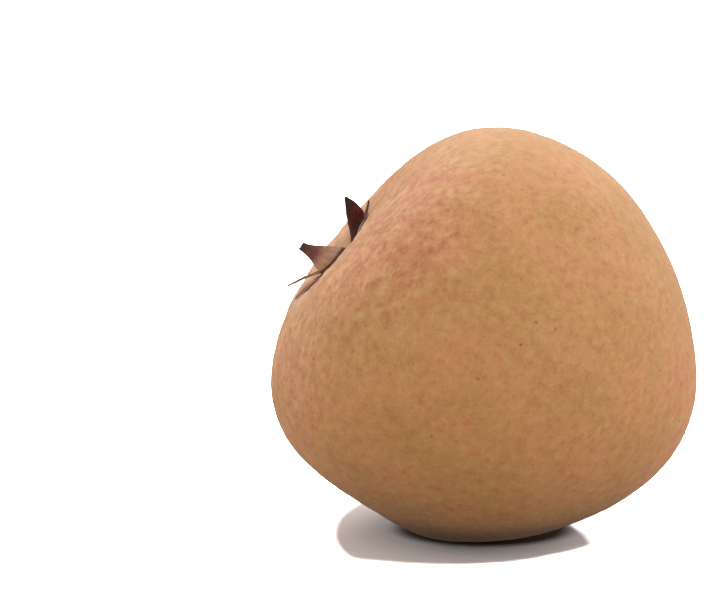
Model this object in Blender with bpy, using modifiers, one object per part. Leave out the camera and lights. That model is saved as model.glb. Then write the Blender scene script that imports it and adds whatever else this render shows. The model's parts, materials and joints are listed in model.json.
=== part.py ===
"""A whole sapodilla as picked: the fruit, its dry calyx of six sepals, and the stub of its stalk.

Metres, +Z up. The fruit lies on its side, with its stem end up to the left. The origin is on the
small flat spot that it rests on, straight below its centre. The pieces are shaped round the stem
axis, which is local +Z. A turn is counted about that axis from the underside, local +X, by way of
the near side, local +Y.
"""

import math
from collections import namedtuple

import bmesh
import bpy
from mathutils import Matrix, Vector, noise

MM = 0.001

# How the fruit lies
CENTRE_HEIGHT = 36.8 * MM
STEM_LEAN = math.radians(62.9)
STEM_HEADING = math.radians(180)

# The fruit is a ball with broad swells: where each lies, how high it is, how far it spreads
BALL_RADIUS = 35.5 * MM
STEM_FLATTENING = 6.3 * MM
STEM_FLATTENING_ANGLE = math.radians(17.3)
STEM_FLATTENING_SPREAD = math.radians(31)
SHOULDER_SWELL = 3.2 * MM
SHOULDER_EXTRA_UNDERNEATH = 1.2 * MM
SHOULDER_ANGLE = math.radians(59)
SHOULDER_NEARER_UNDERNEATH = math.radians(8)
SHOULDER_SPREAD = math.radians(24.5)
APEX_SWELL = 4.6 * MM
APEX_SPREAD = math.radians(27.3)
BELLY_SWELL = 1.8 * MM
BELLY_ANGLE = math.radians(129)
BELLY_SPREAD = math.radians(50)
UNDULATION = 0.25 * MM
UNDULATIONS_ACROSS = 2.6

# The hollow that the calyx sits in, the puckers round it, and the scar of the style at the far end
CAVITY_DEPTH = 3.8 * MM
CAVITY_SPREAD = math.radians(11.4)
CAVITY_STEEPNESS = 4
PUCKER_HEIGHT = 0.16 * MM
PUCKERS = 13
PUCKER_WANDER = 4.4
PUCKER_ANGLE = math.radians(23)
PUCKER_SPREAD = math.radians(9)
SCAR_DEPTH = 0.7 * MM
SCAR_SPREAD = math.radians(5)
STYLE_TIP_HEIGHT = 1.3 * MM
STYLE_TIP_SPREAD = math.radians(1.9)

# The fruit's grid of faces is closest round the cavity and the scar
SEGMENTS = 64
RINGS = 50
RING_CROWDING = 0.62

# The calyx: a low disc on the cavity's floor, and two whorls of three sepals. The stem end
# slopes, so the calyx faces nearer the top side than the stem axis does
CALYX_TILT = math.radians(17)
CLEARANCE = 0.3 * MM
DISC_FOOT_RADIUS = 2.4 * MM
DISC_TOP_RADIUS = 3.4 * MM
DISC_HEIGHT = 1.5 * MM
DISC_SIDES = 32
SOCKET_DEPTH = 0.7 * MM
SOCKET_CUTTER_DEPTH = 3 * MM
SEPAL_THICKNESS = 0.65 * MM
SEPAL_ROWS = 14
SEPAL_COLUMNS = 6
SEPAL_ROOT = 2.0 * MM
SEPAL_ROOT_HEIGHT = 1.0 * MM
SEPAL_TIP_SHARE = 0.05
SEPAL_TAPER = 1.4
SEPAL_FILL = 3.9

# Root is a sepal's width there as a share of its greatest. Angles are in degrees: rise is its slope
# where it leaves the disc, curl is what it gains by its tip, and twist is its turn about its midrib
Sepal = namedtuple("Sepal", "name turn length width root rise curl twist cup")
SEPALS = (
    Sepal("outer_near", 64, 8.6 * MM, 7.4 * MM, 0.85, 74, -8, 0, 0.20),
    Sepal("outer_top", 192, 10.2 * MM, 3.8 * MM, 0.50, 8, 30, 0, 0.15),
    Sepal("outer_low", 345, 9.6 * MM, 5.8 * MM, 0.50, 27, -14, 18, 0.10),
    Sepal("inner_low", 12, 8.7 * MM, 5.2 * MM, 0.50, 20, -24, 0, 0.10),
    Sepal("inner_broken", 128, 3.6 * MM, 5.4 * MM, 0.50, 20, -6, 0, 0.20),
    Sepal("inner_far", 202, 11.2 * MM, 7.6 * MM, 0.40, 0, 96, 80, 0.25),
)

# The stub of the stalk, snapped off just above the calyx
STUB_RADIUS = 1.4 * MM
STUB_LENGTH = 1.5 * MM
STUB_FLARE = 1.16
STUB_SIDES = 20
STUB_BREAK_SLOPE = math.radians(14)

SHARP_ANGLE = math.radians(50)

STEM = Vector((0, 0, 1))
APEX = -STEM


def towards(angle, turn):
    """The direction at this angle from the stem axis and this turn about it."""
    return Vector((math.sin(angle) * math.cos(turn), math.sin(angle) * math.sin(turn), math.cos(angle)))


def bell(angle, spread, steepness=2):
    return math.exp(-((abs(angle) / spread) ** steepness))


TOP_SIDE = math.pi
FLATTENING_CENTRE = towards(STEM_FLATTENING_ANGLE, TOP_SIDE)
BELLY_CENTRE = towards(BELLY_ANGLE, 0)


def body_radius(direction):
    """How far the ball with its broad swells reaches from the fruit's centre."""
    from_stem = direction.angle(STEM)
    turn = math.atan2(direction.y, direction.x)
    underneath = math.cos(turn)
    shoulder = SHOULDER_SWELL + SHOULDER_EXTRA_UNDERNEATH * underneath
    shoulder_angle = SHOULDER_ANGLE - SHOULDER_NEARER_UNDERNEATH * underneath
    return (
        BALL_RADIUS
        - STEM_FLATTENING * bell(direction.angle(FLATTENING_CENTRE), STEM_FLATTENING_SPREAD)
        + shoulder * bell(from_stem - shoulder_angle, SHOULDER_SPREAD)
        + APEX_SWELL * bell(direction.angle(APEX), APEX_SPREAD)
        + BELLY_SWELL * bell(direction.angle(BELLY_CENTRE), BELLY_SPREAD)
        + UNDULATION * noise.noise(direction * UNDULATIONS_ACROSS)
    )


def fruit_radius(direction):
    """The body's reach with the stem cavity, its puckers and the scar of the style worked in."""
    from_stem = direction.angle(STEM)
    from_apex = direction.angle(APEX)
    turn = math.atan2(direction.y, direction.x)
    wander = PUCKER_WANDER * noise.noise(Vector((math.cos(turn), math.sin(turn), 3.0)))
    puckers = math.cos(PUCKERS * turn + wander)
    return (
        body_radius(direction)
        - CAVITY_DEPTH * bell(from_stem, CAVITY_SPREAD, CAVITY_STEEPNESS)
        + PUCKER_HEIGHT * puckers * bell(from_stem - PUCKER_ANGLE, PUCKER_SPREAD)
        - SCAR_DEPTH * bell(from_apex, SCAR_SPREAD)
        + STYLE_TIP_HEIGHT * bell(from_apex, STYLE_TIP_SPREAD)
    )


CAVITY_FLOOR = fruit_radius(STEM)
CALYX_PLACE = Matrix.Translation(STEM * (CAVITY_FLOOR + CLEARANCE)) @ Matrix.Rotation(-CALYX_TILT, 4, "Y")


def clear_scene():
    for obj in list(bpy.data.objects):
        bpy.data.objects.remove(obj, do_unlink=True)


def make_material(name, colour, roughness):
    material = bpy.data.materials.new(name)
    material.use_nodes = True
    shader = material.node_tree.nodes["Principled BSDF"]
    shader.inputs["Base Color"].default_value = (*colour, 1)
    shader.inputs["Roughness"].default_value = roughness
    shader.inputs["Metallic"].default_value = 0
    return material


def make_object(name, bm, collection, material):
    """An object of this bmesh, which it frees, shaded smooth but for its sharp edges."""
    mesh = bpy.data.meshes.new(name)
    bmesh.ops.recalc_face_normals(bm, faces=bm.faces)
    bm.to_mesh(mesh)
    bm.free()
    mesh.materials.append(material)
    mesh.shade_smooth()
    mesh.set_sharp_from_angle(angle=SHARP_ANGLE)
    obj = bpy.data.objects.new(name, mesh)
    collection.objects.link(obj)
    return obj


def make_fruit(pose, collection, material):
    """The berry in one piece: a sphere drawn out to the fruit's reach, cut flat where it rests."""
    bm = bmesh.new()
    bmesh.ops.create_uvsphere(bm, u_segments=SEGMENTS, v_segments=RINGS, radius=1)
    for vert in bm.verts:
        angle = vert.co.angle(STEM)
        turn = math.atan2(vert.co.y, vert.co.x)
        crowded = angle - RING_CROWDING / 2 * math.sin(2 * angle)
        direction = towards(crowded, turn)
        vert.co = direction * fruit_radius(direction)
    to_local = pose.inverted()
    cut = bmesh.ops.bisect_plane(
        bm,
        geom=bm.verts[:] + bm.edges[:] + bm.faces[:],
        dist=1e-7,
        plane_co=to_local @ Vector((0, 0, 0)),
        plane_no=to_local.to_3x3() @ Vector((0, 0, -1)),
        clear_outer=True,
    )
    rim = [edge for edge in cut["geom_cut"] if isinstance(edge, bmesh.types.BMEdge)]
    bmesh.ops.contextual_create(bm, geom=rim)
    return make_object("fruit", bm, collection, material)


def sepal_outline(root, along):
    """The sepal's width at this share of its length, as a share of its greatest."""
    ovate = (root + (SEPAL_FILL - (SEPAL_FILL - 1) * root) * along) * (1 - along) ** SEPAL_TAPER
    return SEPAL_TIP_SHARE + (1 - SEPAL_TIP_SHARE) * ovate


def clear_of_skin(point):
    """A point of a sepal's sheet in the calyx's own frame, lifted off the skin where it would sink in."""
    from_centre = CALYX_PLACE @ point
    least = fruit_radius(from_centre.normalized()) + CLEARANCE + SEPAL_THICKNESS / 2
    if from_centre.length >= least:
        return point
    return CALYX_PLACE.inverted() @ (from_centre.normalized() * least)


def sepal_sheet(sepal):
    """One sepal as an open sheet, rooted in the disc and bent along its midrib."""
    bm = bmesh.new()
    bmesh.ops.create_grid(bm, x_segments=SEPAL_ROWS, y_segments=SEPAL_COLUMNS, size=0.5)
    angles = (sepal.turn, sepal.rise, sepal.curl, sepal.twist)
    turn, rise, curl, twist = (math.radians(angle) for angle in angles)
    bend_radius = sepal.length / curl
    for vert in bm.verts:
        along = vert.co.x + 0.5
        across = 2 * vert.co.y
        slope = rise + curl * along
        midrib = Vector((
            SEPAL_ROOT + bend_radius * (math.sin(slope) - math.sin(rise)),
            0,
            SEPAL_ROOT_HEIGHT + bend_radius * (math.cos(rise) - math.cos(slope)),
        ))
        half_width = sepal.width / 2 * sepal_outline(sepal.root, along)
        row_twist = twist * math.sin(math.pi / 2 * along)
        row_turn = Matrix.Rotation(-slope, 3, "Y") @ Matrix.Rotation(row_twist, 3, "X")
        point = midrib + row_turn @ Vector((0, half_width * across, sepal.cup * half_width * across**2))
        vert.co = clear_of_skin(Matrix.Rotation(turn, 3, "Z") @ point)
    return bm


def make_sepals(collection, material):
    """The six sepals, each a sheet with its thickness given by a modifier."""
    for sepal in SEPALS:
        blade = make_object(sepal.name, sepal_sheet(sepal), collection, material)
        solidify = blade.modifiers.new("thickness", "SOLIDIFY")
        solidify.thickness = SEPAL_THICKNESS
        solidify.offset = 0


def round_block(foot_radius, top_radius, foot_height, depth, sides):
    """A bmesh of a round block about the axis, standing on this height."""
    bm = bmesh.new()
    bmesh.ops.create_cone(
        bm, cap_ends=True, segments=sides, radius1=foot_radius, radius2=top_radius, depth=depth
    )
    bmesh.ops.translate(bm, verts=bm.verts, vec=(0, 0, foot_height + depth / 2))
    return bm


def make_calyx(collection, material):
    """The disc with its sepals joined to it and the stalk's socket cut into it, in one body."""
    helpers = bpy.data.collections.new("calyx_helpers")
    sepals = bpy.data.collections.new("sepals_to_join")
    bpy.context.scene.collection.children.link(helpers)
    helpers.children.link(sepals)
    make_sepals(sepals, material)
    disc = round_block(DISC_FOOT_RADIUS, DISC_TOP_RADIUS, 0, DISC_HEIGHT, DISC_SIDES)
    calyx = make_object("calyx", disc, collection, material)
    union = calyx.modifiers.new("sepals", "BOOLEAN")
    union.operation = "UNION"
    union.operand_type = "COLLECTION"
    union.solver = "MANIFOLD"
    union.collection = sepals
    bore_radius = STUB_RADIUS * STUB_FLARE + CLEARANCE
    bore_foot = DISC_HEIGHT - SOCKET_DEPTH
    bore = round_block(bore_radius, bore_radius, bore_foot, SOCKET_CUTTER_DEPTH, DISC_SIDES)
    socket = make_object("stalk_socket", bore, helpers, material)
    cut = calyx.modifiers.new("socket", "BOOLEAN")
    cut.operation = "DIFFERENCE"
    cut.solver = "MANIFOLD"
    cut.object = socket
    apply_modifiers(calyx)
    for helper in list(helpers.all_objects):
        bpy.data.objects.remove(helper, do_unlink=True)
    bpy.data.collections.remove(sepals)
    bpy.data.collections.remove(helpers)
    calyx.matrix_local = CALYX_PLACE
    return calyx


def apply_modifiers(obj):
    """Gives the object its evaluated mesh and drops its modifiers."""
    graph = bpy.context.evaluated_depsgraph_get()
    mesh = bpy.data.meshes.new_from_object(obj.evaluated_get(graph))
    obj.modifiers.clear()
    obj.data = mesh


def make_stalk_stub(collection, material):
    """A short round stub, wider at its foot, broken off aslant."""
    bm = round_block(STUB_RADIUS * STUB_FLARE, STUB_RADIUS, 0, STUB_LENGTH, STUB_SIDES)
    for vert in bm.verts:
        if vert.co.z > STUB_LENGTH / 2:
            vert.co.z += vert.co.x * math.tan(STUB_BREAK_SLOPE)
    stub = make_object("stalk_stub", bm, collection, material)
    stub.matrix_local = CALYX_PLACE @ Matrix.Translation((0, 0, DISC_HEIGHT - SOCKET_DEPTH + CLEARANCE))
    return stub


def main():
    clear_scene()
    collection = bpy.data.collections.new("sapodilla")
    bpy.context.scene.collection.children.link(collection)
    skin = make_material("scurfy_skin", (0.50, 0.29, 0.15), 0.75)
    dry_sepal = make_material("dry_sepal", (0.16, 0.08, 0.06), 0.7)
    bark = make_material("stalk_bark", (0.27, 0.19, 0.13), 0.85)

    stem_frame = bpy.data.objects.new("stem_frame", None)
    collection.objects.link(stem_frame)
    stem_frame.location.z = CENTRE_HEIGHT
    stem_frame.rotation_euler = (0, STEM_LEAN, STEM_HEADING)
    bpy.context.view_layer.update()

    fruit = make_fruit(stem_frame.matrix_world.copy(), collection, skin)
    calyx = make_calyx(collection, dry_sepal)
    stub = make_stalk_stub(collection, bark)
    for piece in (fruit, calyx, stub):
        piece.parent = stem_frame


main()
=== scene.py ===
"""A whole sapodilla as picked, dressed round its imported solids: skin, dry calyx and stalk stub."""

import json
import math
from collections import namedtuple

import bmesh
import bpy
from mathutils import Matrix, Vector, noise

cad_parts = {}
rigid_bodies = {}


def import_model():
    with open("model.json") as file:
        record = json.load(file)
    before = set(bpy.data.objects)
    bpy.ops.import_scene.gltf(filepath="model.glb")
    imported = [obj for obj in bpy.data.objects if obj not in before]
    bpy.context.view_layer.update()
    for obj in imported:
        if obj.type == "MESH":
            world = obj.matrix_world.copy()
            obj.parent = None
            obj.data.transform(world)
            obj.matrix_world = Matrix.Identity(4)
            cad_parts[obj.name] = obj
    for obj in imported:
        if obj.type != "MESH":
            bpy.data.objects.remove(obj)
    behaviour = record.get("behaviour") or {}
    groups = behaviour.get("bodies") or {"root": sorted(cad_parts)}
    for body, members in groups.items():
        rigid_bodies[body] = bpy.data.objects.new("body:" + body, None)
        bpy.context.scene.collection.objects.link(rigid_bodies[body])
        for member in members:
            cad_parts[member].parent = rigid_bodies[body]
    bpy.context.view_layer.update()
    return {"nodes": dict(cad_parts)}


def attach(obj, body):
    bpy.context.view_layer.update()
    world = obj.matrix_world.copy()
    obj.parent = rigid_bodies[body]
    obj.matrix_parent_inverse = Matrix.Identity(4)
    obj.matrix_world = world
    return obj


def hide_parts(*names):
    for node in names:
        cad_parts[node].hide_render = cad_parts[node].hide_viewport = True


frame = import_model()

# The fruit's shape. It is one berry, grown in one piece, with a thin matt skin: soft lumps all
# over, fine creases in rays round the hollow at its stem end, and a small nib at its far end.
# A fine ball is drawn in onto a smoothed copy of the solid, and its relief is worked into it.
MM = 0.001
FRUIT_CENTRE = Vector((0, 0, 36.8 * MM))
STEM_TURN = (0, math.radians(62.9), math.radians(180))
BALL_SIDE = 60 * MM
COARSE_CUTS = 15
FINE_CUTS = 7
WELD_DISTANCE = 0.001 * MM
QUAD_FLATNESS = math.radians(40)
QUAD_SKEW = math.radians(60)
ROUNDING_LEVELS = 2
FLAT_SPOT_EDGE = 0.15 * MM
FLAT_SPOT_BLEND = 2.5 * MM
LUMP_SIZE = 7 * MM
LUMP_DEPTH = 0.30 * MM
DENT_SIZE = 2.2 * MM
DENT_DEPTH = 0.12 * MM
SCURF_SIZE = 0.9 * MM
SCURF_DEPTH = 0.05 * MM
CREASE_DEPTH = 0.18 * MM
CREASE_NARROWNESS = 2.5
CREASES_AROUND = 4.6
CREASES_ALONG = 3.6
CREASE_ANGLE = math.radians(27)
CREASE_SPREAD = math.radians(15)
SWELL_SPREAD = math.radians(14)
SWELLS = (
    (Vector((-0.44, 0.22, 0.87)), 0.6 * MM),
    (Vector((0.57, 0.20, 0.79)), 0.6 * MM),
    (Vector((-0.25, -0.24, -0.94)), 1.1 * MM),
)


def only(obj):
    """Selects this object alone and makes it the active one."""
    bpy.ops.object.select_all(action="DESELECT")
    obj.select_set(True)
    bpy.context.view_layer.objects.active = obj


def apply_modifiers(obj):
    only(obj)
    for modifier in list(obj.modifiers):
        bpy.ops.object.modifier_apply(modifier=modifier.name)


def rounded_copy(node):
    """A copy of a node with its facets rounded, as a form to press a finer piece onto."""
    only(frame["nodes"][node])
    bpy.ops.object.duplicate()
    copy = bpy.context.object
    bpy.ops.object.mode_set(mode="EDIT")
    bpy.ops.mesh.select_all(action="SELECT")
    bpy.ops.mesh.remove_doubles(threshold=WELD_DISTANCE)
    bpy.ops.mesh.tris_convert_to_quads(face_threshold=QUAD_FLATNESS, shape_threshold=QUAD_SKEW)
    bpy.ops.object.mode_set(mode="OBJECT")
    rounding = copy.modifiers.new("rounding", "SUBSURF")
    rounding.levels = ROUNDING_LEVELS
    rounding.render_levels = ROUNDING_LEVELS
    apply_modifiers(copy)
    return copy


def work_over(obj, name, size, depth, group):
    """Works cloudy lumps and hollows of this size into the surface, as much out as in."""
    texture = bpy.data.textures.new(name, "CLOUDS")
    texture.noise_scale = size
    texture.noise_depth = 2
    modifier = obj.modifiers.new(name, "DISPLACE")
    modifier.texture = texture
    modifier.texture_coords = "LOCAL"
    modifier.strength = depth
    modifier.mid_level = 0.5
    modifier.vertex_group = group


def off_ground(place):
    """0 on the flat spot that the fruit rests on, 1 a little above it, and rising between."""
    return min(max((place.z - FLAT_SPOT_EDGE) / FLAT_SPOT_BLEND, 0), 1)


def crease(place):
    """How deep the rays of creases round the stem end go here, from 0 to 1."""
    angle = place.angle(Vector((0, 0, 1)))
    ring = Vector((place.x, place.y, 0)).normalized() * CREASES_AROUND
    ring.z = angle * CREASES_ALONG
    ray = 1 - abs(noise.noise(ring)) * CREASE_NARROWNESS
    return max(ray, 0) ** 2 * math.exp(-(((angle - CREASE_ANGLE) / CREASE_SPREAD) ** 2))


def swell(direction):
    """How far the low swells at the upper left, the upper right and the lower left reach here."""
    swells = (height * math.exp(-((direction.angle(top) / SWELL_SPREAD) ** 2)) for top, height in SWELLS)
    return sum(swells)


stem_frame = Matrix.Translation(FRUIT_CENTRE)
stem_frame = stem_frame @ Matrix.Rotation(STEM_TURN[2], 4, "Z") @ Matrix.Rotation(STEM_TURN[1], 4, "Y")
to_stem_frame = stem_frame.inverted()
stem_direction = stem_frame.to_3x3() @ Vector((0, 0, 1))
cavity_floor = frame["nodes"]["fruit"].ray_cast(FRUIT_CENTRE, stem_direction)[1]
cavity_reach = (cavity_floor - FRUIT_CENTRE).length

form = rounded_copy("fruit")
bpy.ops.object.select_all(action="DESELECT")
bpy.ops.mesh.primitive_cube_add(size=BALL_SIDE, location=FRUIT_CENTRE)
skin = bpy.context.object
skin.name = "fruit_skin"
bpy.ops.object.mode_set(mode="EDIT")
bpy.ops.mesh.subdivide(number_cuts=COARSE_CUTS)
bpy.ops.mesh.subdivide(number_cuts=FINE_CUTS)
bpy.ops.transform.tosphere(value=1)
bpy.ops.object.mode_set(mode="OBJECT")
draw_in = skin.modifiers.new("draw_in", "SHRINKWRAP")
draw_in.wrap_method = "PROJECT"
draw_in.use_negative_direction = True
draw_in.use_positive_direction = True
draw_in.target = form
apply_modifiers(skin)
bpy.data.objects.remove(form, do_unlink=True)
bpy.ops.object.transform_apply(location=True, rotation=True, scale=True)

free = skin.vertex_groups.new(name="free_of_the_ground")
for vert in skin.data.vertices:
    free.add([vert.index], off_ground(vert.co), "REPLACE")
work_over(skin, "lumps", LUMP_SIZE, LUMP_DEPTH, free.name)
work_over(skin, "dents", DENT_SIZE, DENT_DEPTH, free.name)
work_over(skin, "scurf", SCURF_SIZE, SCURF_DEPTH, free.name)
apply_modifiers(skin)
skin.vertex_groups.clear()
for vert in skin.data.vertices:
    outwards = (vert.co - FRUIT_CENTRE).normalized()
    rise = swell(outwards) * off_ground(vert.co) - CREASE_DEPTH * crease(to_stem_frame @ vert.co)
    vert.co += outwards * rise
skin.data.shade_smooth()


# The fruit's skin. It is tan, thinly covered in pale scurf, with brown dots where it breathes,
# redder round the stem end, at the far end and on the side that faced the sun, olive in
# patches between, and browner at the foot, partly its own colour and partly painted contact
# shade. Its pattern is laid out from the stem end.
PATCH_SIZE = 13 * MM
SWATHE_SIZE = 6.5 * MM
BLOTCH_SIZE = 3.4 * MM
DAPPLE_SIZE = 1.9 * MM
TINT_SIZE = 1.7 * MM
MOTTLE_SIZE = 1.5 * MM
GRAIN_SIZE = 0.45 * MM
RAYS_AROUND = 5.0
RAYS_ALONG = 5.0
ELSEWHERE = (0.3, 0.2, 0.1)
SUNNY_SIDE = to_stem_frame.to_3x3() @ Vector((-0.42, -0.56, 0.71))
SUNNY_COSINES = (0.83, 0.985)
STEM_END_ANGLES = (1.25, 0.45)
HOLLOW_ANGLES = (0.42, 0.26)
FAR_END_ANGLES = (2.2, 2.9)
# Painted shade: from the first height down to the second the foot turns browner, partly its own colour
# and partly painted contact shade.
FOOT_SHADE_HEIGHTS = (9.0 * MM, 3.0 * MM)

# How far apart the dots are, how far from its middle a dot is full and gone, and on what
# share of the places there is one.
SPECKS = (2.1 * MM, 0.12 * MM, 0.62 * MM, 0.85)
LARGE_DOTS = (4.2 * MM, 0.10 * MM, 0.42 * MM, 0.70)
SMALL_DOTS = (1.2 * MM, 0.06 * MM, 0.30 * MM, 0.60)
SKIN_RELIEF = 0.10 * MM
SKIN_FINISH = {
    "Specular IOR Level": 0.35,
    "Sheen Weight": 0.18,
    "Sheen Roughness": 0.55,
    "Sheen Tint": (1, 0.86, 0.74, 1),
}


def screen(red, green, blue):
    """A colour as a screen shows it, 0 to 255, as the shader's own light values."""
    shares = (red / 255, green / 255, blue / 255)
    return tuple(
        share / 12.92 if share < 0.04045 else ((share + 0.055) / 1.055) ** 2.4
        for share in shares
    )


class Shade:
    """One output of a material's nodes. Sums and products of outputs add their Math nodes."""

    def __init__(self, tree, output=None):
        self.tree = tree
        self.output = output

    def node(self, kind, settings, sockets, output=0):
        """Adds a node of this type, with its settings and then its sockets' values or links."""
        made = self.tree.nodes.new(kind)
        for name, value in settings.items():
            setattr(made, name, value)
        for name, value in sockets.items():
            if isinstance(value, Shade):
                self.tree.links.new(value.output, made.inputs[name])
            elif isinstance(value, tuple) and made.inputs[name].type == "RGBA":
                made.inputs[name].default_value = (*value, 1)
            else:
                made.inputs[name].default_value = value
        return Shade(self.tree, made.outputs[output])

    def feed(self, shader, socket):
        """Links this output to one of the shader's sockets."""
        self.tree.links.new(self.output, shader.inputs[socket])

    def maths(self, operation, first, second=0.0):
        return self.node("ShaderNodeMath", {"operation": operation}, {0: first, 1: second})

    def __add__(self, other):
        return self.maths("ADD", self, other)

    def __radd__(self, other):
        return self.maths("ADD", other, self)

    def __sub__(self, other):
        return self.maths("SUBTRACT", self, other)

    def __rsub__(self, other):
        return self.maths("SUBTRACT", other, self)

    def __mul__(self, other):
        return self.maths("MULTIPLY", self, other)

    def __rmul__(self, other):
        return self.maths("MULTIPLY", other, self)

    def vector(self, operation, other=(0, 0, 0), output=0):
        """Vector maths on this output and another."""
        return self.node("ShaderNodeVectorMath", {"operation": operation}, {0: self, 1: other}, output)

    def part(self, axis):
        """The X, Y or Z of this vector."""
        return self.node("ShaderNodeSeparateXYZ", {}, {0: self}, axis)

    def rise(self, low, high):
        """0 below low and 1 above high, with a smooth step between, or the other way round."""
        settings = {"interpolation_type": "SMOOTHSTEP"}
        sockets = {"Value": self, "From Min": low, "From Max": high}
        return self.node("ShaderNodeMapRange", settings, sockets)

    def between(self, first, second):
        """The first colour where this is 0, the second where it is 1."""
        settings = {"data_type": "RGBA"}
        return self.node("ShaderNodeMix", settings, {0: self, 6: first, 7: second}, 2)

    def clouds(self, size, detail=2.0, roughness=0.5):
        """Cloudy noise with features of this size, on the place that this output gives."""
        sockets = {"Vector": self, "Scale": 1 / size, "Detail": detail, "Roughness": roughness}
        return self.node("ShaderNodeTexNoise", {}, sockets)

    def dots(self, spacing, low, high, share):
        """Round dots on a share of the cells of this spacing, full inside low and gone at high."""
        sockets = {"Vector": self, "Scale": 1 / spacing}
        distance = self.node("ShaderNodeTexVoronoi", {}, sockets, "Distance")
        cell = self.node("ShaderNodeTexVoronoi", {}, sockets, "Color")
        chance = self.node("ShaderNodeSeparateColor", {}, {"Color": cell})
        return distance.rise(high / spacing, low / spacing) * chance.rise(1 - share, 1)

    def bump(self, strength, height):
        """Relief of this height where the output goes from 0 to 1."""
        sockets = {"Height": self, "Strength": strength, "Distance": height}
        return self.node("ShaderNodeBump", {}, sockets)


def shader_of(material):
    material.use_nodes = True
    return material.node_tree.nodes["Principled BSDF"]


def skin_material():
    material = bpy.data.materials.new("scurfy_skin")
    shader = shader_of(material)
    start = Shade(material.node_tree)
    place = start.node("ShaderNodeTexCoord", {}, {}, "Object")
    height = place.part("Z")
    turned = {"Vector": place, "Location": FRUIT_CENTRE, "Rotation": STEM_TURN}
    place = start.node("ShaderNodeMapping", {"vector_type": "TEXTURE"}, turned)
    elsewhere = place.vector("ADD", ELSEWHERE)
    direction = place.vector("NORMALIZE")
    angle = start.maths("ARCCOSINE", direction.part("Z"))
    ring = direction.vector("MULTIPLY", (1, 1, 0)).vector("NORMALIZE")
    ring = ring.vector("MULTIPLY", (RAYS_AROUND, RAYS_AROUND, RAYS_AROUND))
    along = start.node("ShaderNodeCombineXYZ", {}, {"Z": angle * RAYS_ALONG})

    near_stem = angle.rise(*STEM_END_ANGLES)
    near_apex = angle.rise(*FAR_END_ANGLES)
    in_hollow = angle.rise(*HOLLOW_ANGLES)
    sunny = direction.vector("DOT_PRODUCT", SUNNY_SIDE, "Value").rise(*SUNNY_COSINES)
    at_shaded_foot = height.rise(*FOOT_SHADE_HEIGHTS)
    rays = ring.vector("ADD", along).clouds(1.0)
    patches = place.clouds(PATCH_SIZE)
    swathes = elsewhere.clouds(SWATHE_SIZE)
    blotches = place.clouds(BLOTCH_SIZE, 3.0, 0.62)
    dapples = place.clouds(DAPPLE_SIZE, 3.0, 0.6)
    tints = elsewhere.clouds(TINT_SIZE, 3.0, 0.6)
    mottle = place.clouds(MOTTLE_SIZE, 2.0, 0.55)
    grain = place.clouds(GRAIN_SIZE)
    specks = place.dots(*SPECKS)
    large_dots = place.dots(*LARGE_DOTS)
    small_dots = place.dots(*SMALL_DOTS)
    flush = near_stem * 0.30 + near_apex * 0.7 + sunny * 0.62
    redness = flush * blotches.rise(0.28, 0.60) + patches.rise(0.50, 0.30) * 0.35

    tan = screen(193, 138, 86)
    olive = screen(184, 134, 78)
    pink = screen(193, 121, 87)
    rosy = screen(204, 122, 90)
    greenish = screen(176, 142, 82)
    ochre = screen(180, 120, 60)
    pale = screen(212, 164, 116)
    red_brown = screen(158, 92, 58)
    speck_brown = screen(146, 94, 54)
    dot_brown = screen(124, 76, 43)
    hollow_pink = screen(222, 184, 158)
    foot_brown_and_shade = screen(98, 38, 4)

    colour = patches.rise(0.40, 0.62).between(tan, olive)
    layers = (
        (redness.rise(0.0, 1.1), pink),
        (blotches.rise(0.56, 0.72) * 0.35, ochre),
        (swathes.rise(0.52, 0.66) * (near_stem * 0.24 + sunny * 0.24), red_brown),
        (swathes.rise(0.48, 0.34) * (near_stem * 0.30 + sunny * 0.24), pale),
        (rays.rise(0.52, 0.70) * near_stem * 0.36, red_brown),
        (dapples.rise(0.52, 0.68) * (0.16 + sunny * 0.46 + near_stem * 0.14), red_brown),
        (dapples.rise(0.48, 0.32) * (0.14 + sunny * 0.28 + near_stem * 0.12), pale),
        (tints.rise(0.51, 0.66) * 0.22, rosy),
        (tints.rise(0.49, 0.34) * 0.24, greenish),
        (mottle.rise(0.50, 0.72) * (0.30 + near_stem * 0.30), red_brown),
        (mottle.rise(0.48, 0.28) * (0.22 + near_stem * 0.25), pale),
        (grain.rise(0.50, 0.75) * 0.16, dot_brown),
        (grain.rise(0.48, 0.28) * 0.14, pale),
        (specks * (0.36 + near_stem * 0.60), speck_brown),
        (large_dots * 0.70, dot_brown),
        (small_dots * 0.40, red_brown),
        (in_hollow * blotches.rise(0.32, 0.62) * 0.50, hollow_pink),
        # Painted shade: the browner foot stands partly for the contact shade where the fruit meets the
        # table.
        (at_shaded_foot * 0.80, foot_brown_and_shade),
    )
    for amount, tint in layers:
        colour = amount.between(colour, tint)
    colour.feed(shader, "Base Color")
    roughness = 0.62 + mottle * 0.18 - large_dots * 0.08
    roughness.feed(shader, "Roughness")
    relief = grain * 0.4 + mottle * 1.1 + blotches * 1.2 - large_dots * 0.5 + small_dots * 0.3
    relief.bump(0.55, SKIN_RELIEF).feed(shader, "Normal")
    for socket, value in SKIN_FINISH.items():
        shader.inputs[socket].default_value = value
    return material


skin.data.materials.append(skin_material())
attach(skin, "root")
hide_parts("fruit")


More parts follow.
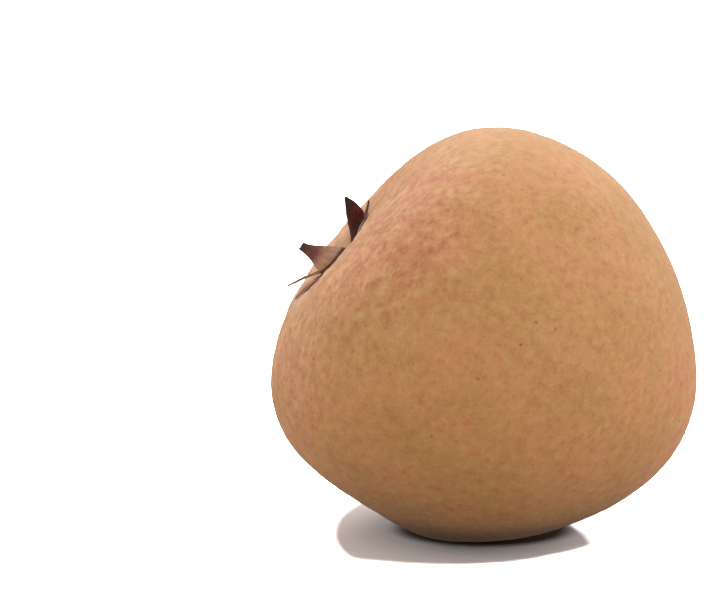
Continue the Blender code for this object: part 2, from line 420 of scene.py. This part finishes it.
# The calyx. Six dry, leathery sepals in two whorls stand on a low disc in the hollow: dark
# red-brown and bare inside, greyer and scurfy outside, with parallel veins and worn edges.
# Each sepal is a flat sheet that is shaped row by row, thickened, and joined to the disc.
CALYX_TILT = math.radians(17)
CLEARANCE = 0.3 * MM
DISC_FOOT_RADIUS = 2.4 * MM
DISC_TOP_RADIUS = 3.4 * MM
DISC_HEIGHT = 1.5 * MM
DISC_SIDES = 48
DISC_EDGE = 0.18 * MM
SOCKET_RADIUS = 1.9 * MM
SOCKET_DEPTH = 0.7 * MM
SOCKET_RING = 0.5 * MM
SEPAL_THICKNESS = 0.34 * MM
SEPAL_ROWS = 24
SEPAL_COLUMNS = 12
SEPAL_ROOT = 2.0 * MM
SEPAL_ROOT_HEIGHT = 1.0 * MM
SEPAL_FILL = 3.9
VEIN_COLUMNS = (2, 4, 6, 8, 10)
VEIN_HEIGHT = 0.07 * MM
VEIN_STRETCH = (1.6, 26, 1)
EDGE_WEAR = 0.10 * MM
WRINKLE_SIZE = 1.6 * MM
WRINKLE_HEIGHT = 0.30 * MM
SEPAL_BLOTCH_SIZE = 2.2 * MM
SEPAL_SCURF_SIZE = 0.5 * MM
SEPAL_RELIEF = 0.12 * MM

# A sepal's turn, rise, curl and twist are degrees, and its root, tip and cup are shares of its
# width. The outer near one and the inner far one are fitted to their outlines in the
# photograph, and the pale ones are paler outside.
Sepal = namedtuple("Sepal", "name turn length width root taper tip rise curl twist cup")
SEPALS = (
    Sepal("outer_near", 72, 9.2 * MM, 7.8 * MM, 1.00, 1.9, 0.20, 63, -5, 20, 0.20),
    Sepal("outer_top", 192, 10.0 * MM, 3.8 * MM, 0.50, 1.4, 0.03, 8, 30, 0, 0.15),
    Sepal("outer_low", 345, 9.6 * MM, 4.2 * MM, 0.50, 1.6, 0.12, 27, -14, 28, 0.10),
    Sepal("inner_low", 12, 8.7 * MM, 4.0 * MM, 0.50, 1.6, 0.03, 20, -24, 10, 0.10),
    Sepal("inner_broken", 128, 3.6 * MM, 5.4 * MM, 0.50, 1.4, 0.03, 20, -6, 0, 0.20),
    Sepal("inner_far", 189, 10.6 * MM, 5.2 * MM, 0.30, 1.05, 0.03, 17, 63, 58, -0.27),
)
PALE_SEPALS = ("outer_low", "inner_low")

calyx_place = stem_frame @ Matrix.Translation((0, 0, cavity_reach + CLEARANCE))
calyx_place = calyx_place @ Matrix.Rotation(-CALYX_TILT, 4, "Y")


def pick(obj, chosen):
    """In edit mode, selects the vertices that are chosen and nothing else."""
    bpy.ops.mesh.select_all(action="DESELECT")
    bm = bmesh.from_edit_mesh(obj.data)
    for vert in bm.verts:
        if chosen(vert):
            vert.select_set(True)
    bm.select_flush(True)
    bmesh.update_edit_mesh(obj.data)


def grid_lines(obj, axis, count):
    """The indices of a flat grid's vertices, line by line along an axis."""
    lines = [set() for line in range(count + 1)]
    for vert in obj.data.vertices:
        lines[round((vert.co[axis] + 0.5) * count)].add(vert.index)
    return lines


def width_share(sepal, along):
    """The sepal's width this far along it, as a share of its full width."""
    filled = sepal.root + (SEPAL_FILL - (SEPAL_FILL - 1) * sepal.root) * along
    ovate = filled * (1 - along) ** sepal.taper
    return sepal.tip + (1 - sepal.tip) * ovate


def turn_row(angle, axis, centre):
    """Turns the selected row; without a window the operator turns the other way."""
    bpy.ops.transform.rotate(value=-angle, orient_axis=axis, center_override=centre)


def make_sepal(sepal, seed):
    """One sepal as a veined sheet in its place on the disc."""
    angles = (sepal.turn, sepal.rise, sepal.curl, sepal.twist)
    turn, rise, curl, twist = (math.radians(angle) for angle in angles)
    bend_radius = sepal.length / curl
    bpy.ops.object.select_all(action="DESELECT")
    bpy.ops.mesh.primitive_grid_add(x_subdivisions=SEPAL_ROWS, y_subdivisions=SEPAL_COLUMNS, size=1)
    blade = bpy.context.object
    blade.name = sepal.name
    rows = grid_lines(blade, 0, SEPAL_ROWS)
    columns = grid_lines(blade, 1, SEPAL_COLUMNS)
    bpy.ops.object.mode_set(mode="EDIT")
    for number, column in enumerate(columns):
        across = 2 * number / SEPAL_COLUMNS - 1
        pick(blade, lambda vert: vert.index in column)
        bpy.ops.transform.translate(value=(0, 0, sepal.cup / 2 * across**2))
    for number, row in enumerate(rows):
        along = number / SEPAL_ROWS
        slope = rise + curl * along
        start = Vector((along - 0.5, 0, 0))
        midrib = Vector((
            SEPAL_ROOT + bend_radius * (math.sin(slope) - math.sin(rise)),
            0,
            SEPAL_ROOT_HEIGHT + bend_radius * (math.cos(rise) - math.cos(slope)),
        ))
        width = sepal.width * width_share(sepal, along)
        pick(blade, lambda vert: vert.index in row)
        bpy.ops.transform.resize(value=(1, width, width), center_override=start)
        turn_row(twist * math.sin(math.pi / 2 * along), "X", start)
        turn_row(-slope, "Y", start)
        bpy.ops.transform.translate(value=midrib - start)
    edge = (rows[-1] | columns[0] | columns[-1]) - rows[0] - rows[1]
    pick(blade, lambda vert: vert.index in edge)
    bpy.ops.transform.vertex_random(offset=EDGE_WEAR, seed=seed)
    veins = set().union(*(columns[number] for number in VEIN_COLUMNS))
    pick(blade, lambda vert: vert.index in veins)
    bpy.ops.transform.shrink_fatten(value=-VEIN_HEIGHT)
    bpy.ops.object.mode_set(mode="OBJECT")
    blade.matrix_world = calyx_place @ Matrix.Rotation(turn, 4, "Z")
    only(blade)
    bpy.ops.object.transform_apply(location=True, rotation=True, scale=True)
    return blade


def finish_blade(blade):
    """Wrinkles the sheet, keeps it off the skin, and gives it its thickness."""
    texture = bpy.data.textures.new("wrinkles", "CLOUDS")
    texture.noise_scale = WRINKLE_SIZE
    wrinkle = blade.modifiers.new("wrinkles", "DISPLACE")
    wrinkle.texture = texture
    wrinkle.texture_coords = "LOCAL"
    wrinkle.strength = WRINKLE_HEIGHT
    clear = blade.modifiers.new("clear_of_skin", "SHRINKWRAP")
    clear.wrap_method = "NEAREST_SURFACEPOINT"
    clear.wrap_mode = "OUTSIDE"
    clear.target = skin
    clear.offset = CLEARANCE / 2 + SEPAL_THICKNESS / 2
    thickness = blade.modifiers.new("thickness", "SOLIDIFY")
    thickness.thickness = SEPAL_THICKNESS
    thickness.offset = 0
    thickness.material_offset = 1
    thickness.material_offset_rim = 1
    smooth = blade.modifiers.new("smooth", "SUBSURF")
    smooth.levels = 1
    smooth.render_levels = 1
    apply_modifiers(blade)


def sepal_material(name, dark, light, base, tip, base_end, roughness, shine):
    """Dry sepal, veined along its length, by the sheet's own map: U along it and V across."""
    material = bpy.data.materials.new(name)
    shader = shader_of(material)
    start = Shade(material.node_tree)
    sheet = start.node("ShaderNodeTexCoord", {}, {}, "UV")
    place = start.node("ShaderNodeTexCoord", {}, {}, "Object")
    along = sheet.part("X")
    edge = start.maths("ABSOLUTE", sheet.part("Y") - 0.5)
    worn = edge.rise(0.40, 0.50) + along.rise(0.90, 1.0)
    drawn_out = start.node("ShaderNodeMapping", {}, {"Vector": sheet, "Scale": VEIN_STRETCH})
    veins = drawn_out.clouds(1.0, 3.0, 0.6)
    scurf = place.clouds(SEPAL_SCURF_SIZE, 3.0, 0.65)
    blotch = place.clouds(SEPAL_BLOTCH_SIZE)
    scurf_grey = screen(150, 118, 100)
    worn_grey = screen(142, 114, 100)
    # Painted shade: the dark brown below is a band at the sepal's root, where the hollow's shadow falls.
    root_shade_brown = screen(58, 32, 24)

    colour = blotch.rise(0.35, 0.65).between(dark, light)
    layers = (
        (along.rise(base_end, base_end - 0.4) * 0.85, base),
        (veins.rise(0.50, 0.66) * 0.50, dark),
        (scurf.rise(0.55, 0.75) * 0.40, scurf_grey),
        (worn.rise(0.2, 1.2) * 0.55, worn_grey),
        (along.rise(0.66, 0.94) * 0.75, tip),
        # Painted shade of the hollow on the sepal's root.
        (along.rise(0.25, 0.19) * 0.75, root_shade_brown),
    )
    for amount, tint in layers:
        colour = amount.between(colour, tint)
    colour.feed(shader, "Base Color")
    (roughness + scurf * 0.25).feed(shader, "Roughness")
    (veins + scurf * 0.5).bump(0.7, SEPAL_RELIEF).feed(shader, "Normal")
    shader.inputs["Specular IOR Level"].default_value = shine
    return material


blackened = screen(60, 50, 50)
sepal_inside = sepal_material(
    "sepal_inside",
    dark=screen(58, 11, 6),
    light=screen(104, 28, 18),
    base=screen(40, 10, 6),
    tip=blackened,
    base_end=0.75,
    roughness=0.45,
    shine=0.15,
)
sepal_outside = sepal_material(
    "sepal_outside",
    dark=screen(124, 82, 80),
    light=screen(174, 128, 120),
    base=screen(236, 208, 182),
    tip=blackened,
    base_end=0.66,
    roughness=0.60,
    shine=0.3,
)
sepal_pale = sepal_material(
    "sepal_pale",
    dark=screen(158, 104, 82),
    light=screen(204, 158, 138),
    base=screen(180, 116, 86),
    tip=screen(188, 148, 134),
    base_end=0.6,
    roughness=0.6,
    shine=0.3,
)

bpy.ops.object.select_all(action="DESELECT")
bpy.ops.mesh.primitive_cone_add(
    vertices=DISC_SIDES,
    radius1=DISC_FOOT_RADIUS,
    radius2=DISC_TOP_RADIUS,
    depth=DISC_HEIGHT,
    end_fill_type="NGON",
    location=(0, 0, DISC_HEIGHT / 2),
)
disc = bpy.context.object
disc.name = "calyx_dry"
bpy.ops.object.transform_apply(location=True, rotation=True, scale=True)
bpy.ops.object.mode_set(mode="EDIT")
pick(disc, lambda vert: vert.co.z > DISC_HEIGHT / 2)
bpy.ops.mesh.inset(thickness=DISC_TOP_RADIUS - SOCKET_RADIUS, depth=0)
bpy.ops.mesh.inset(thickness=0, depth=-SOCKET_DEPTH)
bpy.ops.mesh.inset(thickness=SOCKET_RING, depth=0)
bpy.ops.mesh.select_all(action="SELECT")
bpy.ops.mesh.bevel(offset=DISC_EDGE, segments=2, affect="EDGES")
bpy.ops.object.mode_set(mode="OBJECT")
disc.matrix_world = calyx_place
bpy.ops.object.transform_apply(location=True, rotation=True, scale=True)
disc.data.materials.append(sepal_inside)
disc.data.materials.append(sepal_outside)

blades = []
for number, sepal in enumerate(SEPALS):
    blade = make_sepal(sepal, number)
    blade.data.materials.append(sepal_inside)
    blade.data.materials.append(sepal_pale if sepal.name in PALE_SEPALS else sepal_outside)
    finish_blade(blade)
    blades.append(blade)

only(disc)
for blade in blades:
    blade.select_set(True)
bpy.ops.object.join()
calyx = disc
calyx.data.shade_smooth()
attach(calyx, "root")
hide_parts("calyx")


# The stalk stub. The stalk snapped just above the calyx: dry grey-brown bark, ridged along its
# length, round a paler broken end with a few torn fibres. Here the bark is patchy and fibrous all
# over, and the broken end is stepped and roughened.
STUB_RADIUS = 1.4 * MM
STUB_FLARE = 1.16
STUB_LENGTH = 1.5 * MM
STUB_SIDES = 40
BREAK_RING = 0.25 * MM
BREAK_STEPS = (-0.05 * MM, -0.10 * MM, 0.12 * MM, -0.12 * MM)
BREAK_WEAR = 0.10 * MM
BREAK_SEED = 5
FIBRE_SIZE = 0.30 * MM
BARK_PATCH_SIZE = 1.2 * MM
BARK_RELIEF = 0.1 * MM

bpy.ops.object.select_all(action="DESELECT")
bpy.ops.mesh.primitive_cone_add(
    vertices=STUB_SIDES,
    radius1=STUB_RADIUS * STUB_FLARE,
    radius2=STUB_RADIUS,
    depth=STUB_LENGTH,
    location=(0, 0, STUB_LENGTH / 2),
)
stub = bpy.context.object
stub.name = "stalk_stub_bark"
bpy.ops.object.transform_apply(location=True, rotation=True, scale=True)
bpy.ops.object.mode_set(mode="EDIT")
pick(stub, lambda vert: vert.co.z > STUB_LENGTH / 2)
for step in BREAK_STEPS:
    bpy.ops.mesh.inset(thickness=BREAK_RING, depth=step)
bpy.ops.mesh.select_more()
bpy.ops.mesh.select_more()
bpy.ops.transform.vertex_random(offset=BREAK_WEAR, seed=BREAK_SEED)
bpy.ops.object.mode_set(mode="OBJECT")
stub.matrix_world = calyx_place @ Matrix.Translation((0, 0, DISC_HEIGHT - SOCKET_DEPTH + CLEARANCE))
bpy.ops.object.transform_apply(location=True, rotation=True, scale=True)


def bark_material():
    material = bpy.data.materials.new("stalk_bark")
    shader = shader_of(material)
    start = Shade(material.node_tree)
    place = start.node("ShaderNodeTexCoord", {}, {}, "Object")
    fibres = place.clouds(FIBRE_SIZE, 4.0, 0.7)
    patches = place.clouds(BARK_PATCH_SIZE)
    colour = patches.rise(0.35, 0.65).between(screen(112, 88, 70), screen(150, 124, 98))
    colour = (fibres.rise(0.5, 0.7) * 0.6).between(colour, screen(70, 50, 38))
    colour.feed(shader, "Base Color")
    (0.7 + fibres * 0.2).feed(shader, "Roughness")
    fibres.bump(0.8, BARK_RELIEF).feed(shader, "Normal")
    return material


stub.data.materials.append(bark_material())
stub.data.shade_smooth()
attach(stub, "root")
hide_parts("stalk_stub")


# The photographer's table: a white floor with a painted contact shadow, dark where the fruit meets
# it, lit by three suns of its own, which keep it white and the shadow small. The fruit gets soft
# light from both sides, from a lamp above and behind, and from a grey card just under the table, dark
# near the fruit.
FLOOR_SIZE = 30
FLOOR_ROUGHNESS = 0.9
FLOOR_SHINE = 0.1
TABLE_WHITE = (0.86, 0.78, 0.75)
# Painted shadow: the table's own colour is painted this dark round the contact, out to these distances.
TABLE_PAINTED_SHADOW = (0.08, 0.045, 0.03)
TABLE_PAINTED_SHADOW_TO = 7.0 * MM
TABLE_WHITE_FROM = 9.4 * MM
CONTACT_MIDDLE = (0.5 * MM, 0, 0)
CONTACT_SHAPE = (0.52, 0.86, 1)
CARD_DROP = 0.3 * MM
CARD_GREY = (0.44, 0.37, 0.30)
CARD_DARK = (0.03, 0.02, 0.01)
CARD_DARK_TO = 20 * MM
CARD_GREY_FROM = 46 * MM
CARD_MIDDLE = (0, 0, 0)
CARD_SHAPE = (1, 1, 1)
GLOW_RIGHT = 2.1
GLOW_LEFT = 1.35
GLOW_FRONT = 0.3
GLOW_ALL_ROUND = 0.25
LAMP_AIM = Vector((-0.12, 0.66, 0.75)).normalized()
LAMP_DISTANCE = 0.7
LAMP_SIZE = 0.45
LAMP_POWER = 3
LAMP_COLOUR = (1, 0.98, 0.95)
TABLE_SUNS = (Vector((0.27, -0.50, 0.82)), Vector((-0.41, 0.08, 0.91)), Vector((0.63, 0.45, 0.63)))
TABLE_SUN_POWER = 12
TABLE_SUN_ANGLE = math.radians(6)


def floor_sheet(name, height, colour):
    bpy.ops.object.select_all(action="DESELECT")
    bpy.ops.mesh.primitive_plane_add(size=FLOOR_SIZE, location=(0, 0, height))
    sheet = bpy.context.object
    sheet.name = name
    material = bpy.data.materials.new(name)
    shader = shader_of(material)
    shader.inputs["Base Color"].default_value = (*colour, 1)
    shader.inputs["Roughness"].default_value = FLOOR_ROUGHNESS
    shader.inputs["Specular IOR Level"].default_value = FLOOR_SHINE
    sheet.data.materials.append(material)
    return sheet


def darken_middle(sheet, middle, shape, dark, light, low, high):
    """Darkens the sheet's colour under the fruit: dark this near to it, and its own colour this far
    away. On the table this is a painted shadow; on the unseen card it cuts the light thrown up at the
    fruit.
    """
    start = Shade(sheet.active_material.node_tree)
    place = start.node("ShaderNodeTexCoord", {}, {}, "Object")
    away = place.vector("SUBTRACT", middle).vector("MULTIPLY", shape).vector("LENGTH", output="Value")
    away.rise(low, high).between(dark, light).feed(shader_of(sheet.active_material), "Base Color")


table = floor_sheet("white_table", 0, TABLE_WHITE)
table.visible_diffuse = False
table.visible_glossy = False
table.visible_shadow = False
# Painted shadow: the contact shadow under the fruit is painted into the table's colour.
darken_middle(
    table,
    CONTACT_MIDDLE,
    CONTACT_SHAPE,
    TABLE_PAINTED_SHADOW,
    TABLE_WHITE,
    TABLE_PAINTED_SHADOW_TO,
    TABLE_WHITE_FROM,
)
card = floor_sheet("grey_card", -CARD_DROP, CARD_GREY)
card.visible_camera = False
darken_middle(card, CARD_MIDDLE, CARD_SHAPE, CARD_DARK, CARD_GREY, CARD_DARK_TO, CARD_GREY_FROM)

world = bpy.data.worlds.new("white_room")
world.use_nodes = True
bpy.context.scene.world = world
room = Shade(world.node_tree)
ray = room.node("ShaderNodeTexCoord", {}, {}, "Generated")
sideways = ray.part("X")
from_right = room.maths("MAXIMUM", sideways) * GLOW_RIGHT
from_left = room.maths("MAXIMUM", 0 - sideways) * GLOW_LEFT
from_front = room.maths("MAXIMUM", 0 - ray.part("Y")) * GLOW_FRONT
glow = from_right + from_left + from_front + GLOW_ALL_ROUND
glow.feed(world.node_tree.nodes["Background"], "Color")

bpy.ops.object.light_add(type="AREA", location=FRUIT_CENTRE + LAMP_AIM * LAMP_DISTANCE)
lamp = bpy.context.object
lamp.rotation_euler = LAMP_AIM.to_track_quat("Z", "Y").to_euler()
lamp.data.shape = "DISK"
lamp.data.size = LAMP_SIZE
lamp.data.energy = LAMP_POWER
lamp.data.color = LAMP_COLOUR
lamp.visible_camera = False
lit_by_suns = bpy.data.collections.new("lit_by_suns")
lit_by_suns.objects.link(table)
for aim in TABLE_SUNS:
    bpy.ops.object.light_add(type="SUN", location=aim)
    sun = bpy.context.object
    sun.rotation_euler = aim.to_track_quat("Z", "Y").to_euler()
    sun.data.energy = TABLE_SUN_POWER
    sun.data.angle = TABLE_SUN_ANGLE
    sun.light_linking.receiver_collection = lit_by_suns


# The camera. It looks slightly down, and the fruit's centre is to the right of the picture's
# middle, at this place across and down in pixels.
PICTURE_WIDTH = 720
PICTURE_HEIGHT = 609
FRUIT_ACROSS = 483
FRUIT_DOWN = 333
LENS = 140
SENSOR = 36
CAMERA_ELEVATION = math.radians(14)
CAMERA_DISTANCE = 0.5

focal = LENS / SENSOR * PICTURE_WIDTH
forward = Vector((0, math.cos(CAMERA_ELEVATION), -math.sin(CAMERA_ELEVATION)))
above = Vector((0, math.sin(CAMERA_ELEVATION), math.cos(CAMERA_ELEVATION)))
aside = Vector((1, 0, 0))
to_fruit = (
    forward
    + aside * (FRUIT_ACROSS - PICTURE_WIDTH / 2) / focal
    - above * (FRUIT_DOWN - PICTURE_HEIGHT / 2) / focal
).normalized()
bpy.ops.object.camera_add(
    location=FRUIT_CENTRE - to_fruit * CAMERA_DISTANCE,
    rotation=(math.pi / 2 - CAMERA_ELEVATION, 0, 0),
)
camera = bpy.context.object
camera.data.lens = LENS
camera.data.sensor_width = SENSOR
camera.data.sensor_fit = "HORIZONTAL"
bpy.context.scene.camera = camera
bpy.context.scene.view_settings.view_transform = "Standard"
